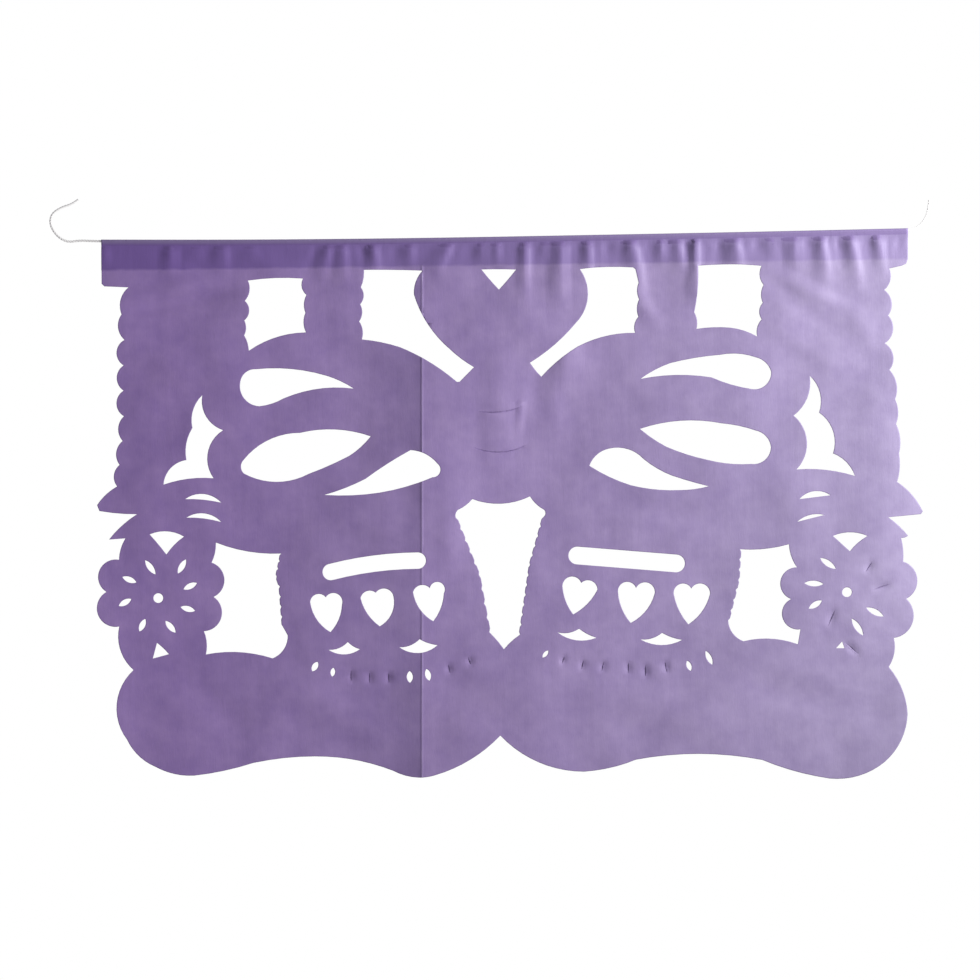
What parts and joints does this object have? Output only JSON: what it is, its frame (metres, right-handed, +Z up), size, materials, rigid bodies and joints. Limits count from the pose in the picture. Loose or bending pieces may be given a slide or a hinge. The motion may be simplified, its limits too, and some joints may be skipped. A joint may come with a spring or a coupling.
{
  "type": "paper bunting",
  "caption": "Rectangular panel of cut tissue paper, its pattern a heart, a bow and two bells, hung from a string run through its rolled top edge.",
  "frame": {"origin": "centre of the string's section, halfway along the panel's top edge", "axes": "+X along the string to the viewer's right, -Y towards the viewer, +Z up"},
  "size_m": [0.5289, 0.006, 0.3546],
  "materials": {
    "tissue_paper": "soft, slightly glossy light purple tissue paper",
    "cotton_string": "thin white twisted cotton"
  },
  "bodies": {
    "root": {"paper_panel": "tissue_paper", "hanging_string": "cotton_string"}
  },
  "joints": []
}
